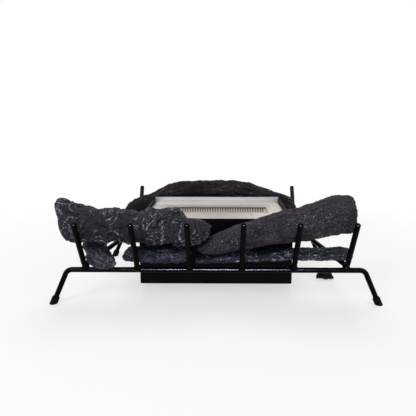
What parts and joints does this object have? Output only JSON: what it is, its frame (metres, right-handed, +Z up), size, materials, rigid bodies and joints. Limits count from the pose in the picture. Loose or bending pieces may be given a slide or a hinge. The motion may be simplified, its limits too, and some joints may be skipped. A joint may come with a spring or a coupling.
{
  "type": "bioethanol fire grate",
  "caption": "Free-standing black rod log grate with charred ceramic logs around a recessed bioethanol burner with a sliding regulator.",
  "frame": {"origin": "on the hearth, under the middle of the grate", "axes": "+X to the right seen from the front, +Y to the back, +Z up"},
  "size_m": [0.6098, 0.334, 0.2021],
  "materials": {
    "gloss_black_rod": "semi-gloss black paint",
    "black_sheet": "satin black powder coat",
    "black_rivet": "satin black",
    "zinc_screw": "zinc plated",
    "stainless": "brushed",
    "black_rubber": "matt",
    "charred_ceramic": "matt charred bark",
    "fibre_wool": "loose fibre"
  },
  "bodies": {
    "grate": {"front_bar": "gloss_black_rod", "rear_bar": "gloss_black_rod", "left_side_rail": "gloss_black_rod", "right_side_rail": "gloss_black_rod", "front_tine_1": "gloss_black_rod", "front_tine_2": "gloss_black_rod", "front_tine_3": "gloss_black_rod", "front_tine_4": "gloss_black_rod", "weld_beads": "gloss_black_rod", "foot_cap_front_left": "black_rubber", "foot_cap_front_right": "black_rubber", "foot_cap_rear_left": "black_rubber", "foot_cap_rear_right": "black_rubber", "lower_left_log": "charred_ceramic", "lower_right_log": "charred_ceramic", "left_stub_log": "charred_ceramic", "loose_ember": "charred_ceramic"},
    "housing": {"housing": "black_sheet", "left_burner_ledge": "black_sheet", "right_burner_ledge": "black_sheet", "ledge_rivets": "black_rivet", "housing_foot_front_left": "black_rubber", "housing_foot_front_right": "black_rubber", "housing_foot_rear_left": "black_rubber", "housing_foot_rear_right": "black_rubber", "housing_foot_screws": "zinc_screw"},
    "burner": {"burner_plate": "stainless", "fuel_tank": "stainless", "vapour_collar": "stainless", "fibre_wool": "fibre_wool", "left_slide_guide": "stainless", "right_slide_guide": "stainless"},
    "regulator": {"regulator_slide": "stainless", "regulator_knob": "stainless"},
    "upper_left_log": {"upper_left_log": "charred_ceramic"},
    "upper_right_log": {"upper_right_log": "charred_ceramic"},
    "back_log": {"back_log": "charred_ceramic"}
  },
  "joints": [
    {"name": "housing_lift", "type": "slide", "parent": "grate", "child": "housing", "axis": [0, 0, 1], "range_m": [0, 0.18]},
    {"name": "burner_lift", "type": "slide", "parent": "housing", "child": "burner", "axis": [0, 0, 1], "range_m": [0, 0.12]},
    {"name": "regulator_slide", "type": "slide", "parent": "burner", "child": "regulator", "axis": [0, 1, 0], "range_m": [0, 0.051]},
    {"name": "upper_left_log_lift", "type": "slide", "parent": "grate", "child": "upper_left_log", "axis": [0, 0, 1], "range_m": [0, 0.16]},
    {"name": "upper_right_log_lift", "type": "slide", "parent": "grate", "child": "upper_right_log", "axis": [0.866, 0, 0.5], "range_m": [0, 0.2]},
    {"name": "back_log_lift", "type": "slide", "parent": "grate", "child": "back_log", "axis": [0, 0, 1], "range_m": [0, 0.15]}
  ]
}
